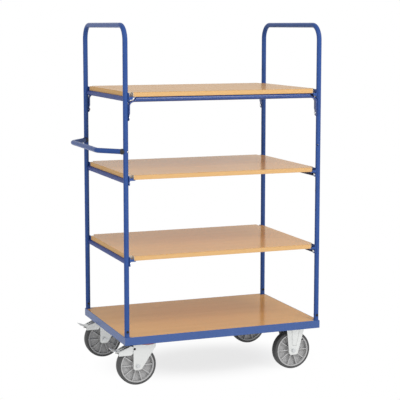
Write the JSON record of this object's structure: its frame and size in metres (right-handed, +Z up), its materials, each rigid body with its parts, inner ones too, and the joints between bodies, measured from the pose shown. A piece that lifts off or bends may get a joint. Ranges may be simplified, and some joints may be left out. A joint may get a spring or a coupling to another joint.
{
  "type": "shelf trolley",
  "caption": "Shelf trolley: wood-decor boards between tube hoops on a rimmed base frame, with a push handle, braked swivel casters at the handle end and fixed casters at the other.",
  "frame": {"origin": "on the floor, under the middle of the overall length and width", "axes": "+Z up; +X along the length, away from the push handle; +Y across, to the rear"},
  "size_m": [1.1706, 0.7238, 1.8],
  "materials": {
    "blue_paint": "satin powder coat",
    "beech_decor": "smooth beech-decor laminate",
    "zinc_steel": "bright zinc-plated pressed sheet",
    "steel_fastener": "zinc-plated",
    "dark_fastener": "blackened",
    "bearing_steel": "ground",
    "rim_plastic": "moulded grey polyamide",
    "tyre": "solid rubber",
    "red_seal": "moulded",
    "brake_rubber": "matt"
  },
  "bodies": {
    "frame": {"base_board": "beech_decor", "board_screws": "steel_fastener", "caster_bolts": "steel_fastener", "corner_spigots": "blue_paint", "foot_bolts": "dark_fastener", "front_long_tube": "blue_paint", "front_rail": "blue_paint", "left_caster_channel": "blue_paint", "left_front_kingpin": "steel_fastener", "left_front_plate": "zinc_steel", "left_hoop": "blue_paint", "left_rail": "blue_paint", "left_rear_kingpin": "steel_fastener", "left_rear_plate": "zinc_steel", "left_rungs": "blue_paint", "lower_shelf_board": "beech_decor", "lower_shelf_brackets": "blue_paint", "middle_shelf_board": "beech_decor", "middle_shelf_brackets": "blue_paint", "push_handle": "blue_paint", "rear_long_tube": "blue_paint", "rear_rail": "blue_paint", "right_caster_channel": "blue_paint", "right_front_axle": "steel_fastener", "right_front_fork": "zinc_steel", "right_hoop": "blue_paint", "right_rail": "blue_paint", "right_rear_axle": "steel_fastener", "right_rear_fork": "zinc_steel", "right_rungs": "blue_paint", "shelf_bolts": "steel_fastener", "upper_shelf_board": "beech_decor", "upper_shelf_brackets": "blue_paint"},
    "left_front_swivel": {"left_front_fork": "zinc_steel", "left_front_axle": "steel_fastener", "left_front_ball_race": "bearing_steel", "left_front_dust_seal": "red_seal", "left_front_pivot_rivets": "dark_fastener"},
    "left_front_wheel": {"left_front_rim": "rim_plastic", "left_front_tyre": "tyre", "left_front_bearing": "bearing_steel"},
    "left_front_brake": {"left_front_brake_lever": "zinc_steel", "left_front_brake_shoe": "brake_rubber"},
    "left_rear_swivel": {"left_rear_fork": "zinc_steel", "left_rear_axle": "steel_fastener", "left_rear_ball_race": "bearing_steel", "left_rear_dust_seal": "red_seal", "left_rear_pivot_rivets": "dark_fastener"},
    "left_rear_wheel": {"left_rear_rim": "rim_plastic", "left_rear_tyre": "tyre", "left_rear_bearing": "bearing_steel"},
    "left_rear_brake": {"left_rear_brake_lever": "zinc_steel", "left_rear_brake_shoe": "brake_rubber"},
    "right_front_wheel": {"right_front_rim": "rim_plastic", "right_front_tyre": "tyre", "right_front_bearing": "bearing_steel"},
    "right_rear_wheel": {"right_rear_rim": "rim_plastic", "right_rear_tyre": "tyre", "right_rear_bearing": "bearing_steel"}
  },
  "joints": [
    {"name": "left_front_swivel_turn", "type": "hinge", "parent": "frame", "child": "left_front_swivel", "pos_m": [-0.34675, -0.29, 0.2055], "axis": [0, 0, 1], "continuous": true},
    {"name": "left_front_wheel_spin", "type": "hinge", "parent": "left_front_swivel", "child": "left_front_wheel", "pos_m": [-0.40075, -0.29, 0.1], "axis": [0, 1, 0], "continuous": true},
    {"name": "left_front_brake_press", "type": "hinge", "parent": "left_front_swivel", "child": "left_front_brake", "pos_m": [-0.41775, -0.29, 0.188], "axis": [0, -1, 0], "range_deg": [0, 8]},
    {"name": "left_rear_swivel_turn", "type": "hinge", "parent": "frame", "child": "left_rear_swivel", "pos_m": [-0.34675, 0.29, 0.2055], "axis": [0, 0, 1], "continuous": true},
    {"name": "left_rear_wheel_spin", "type": "hinge", "parent": "left_rear_swivel", "child": "left_rear_wheel", "pos_m": [-0.40075, 0.29, 0.1], "axis": [0, 1, 0], "continuous": true},
    {"name": "left_rear_brake_press", "type": "hinge", "parent": "left_rear_swivel", "child": "left_rear_brake", "pos_m": [-0.41775, 0.29, 0.188], "axis": [0, -1, 0], "range_deg": [0, 8]},
    {"name": "right_front_wheel_spin", "type": "hinge", "parent": "frame", "child": "right_front_wheel", "pos_m": [0.45325, -0.29, 0.1], "axis": [0, 1, 0], "continuous": true},
    {"name": "right_rear_wheel_spin", "type": "hinge", "parent": "frame", "child": "right_rear_wheel", "pos_m": [0.45325, 0.29, 0.1], "axis": [0, 1, 0], "continuous": true}
  ]
}
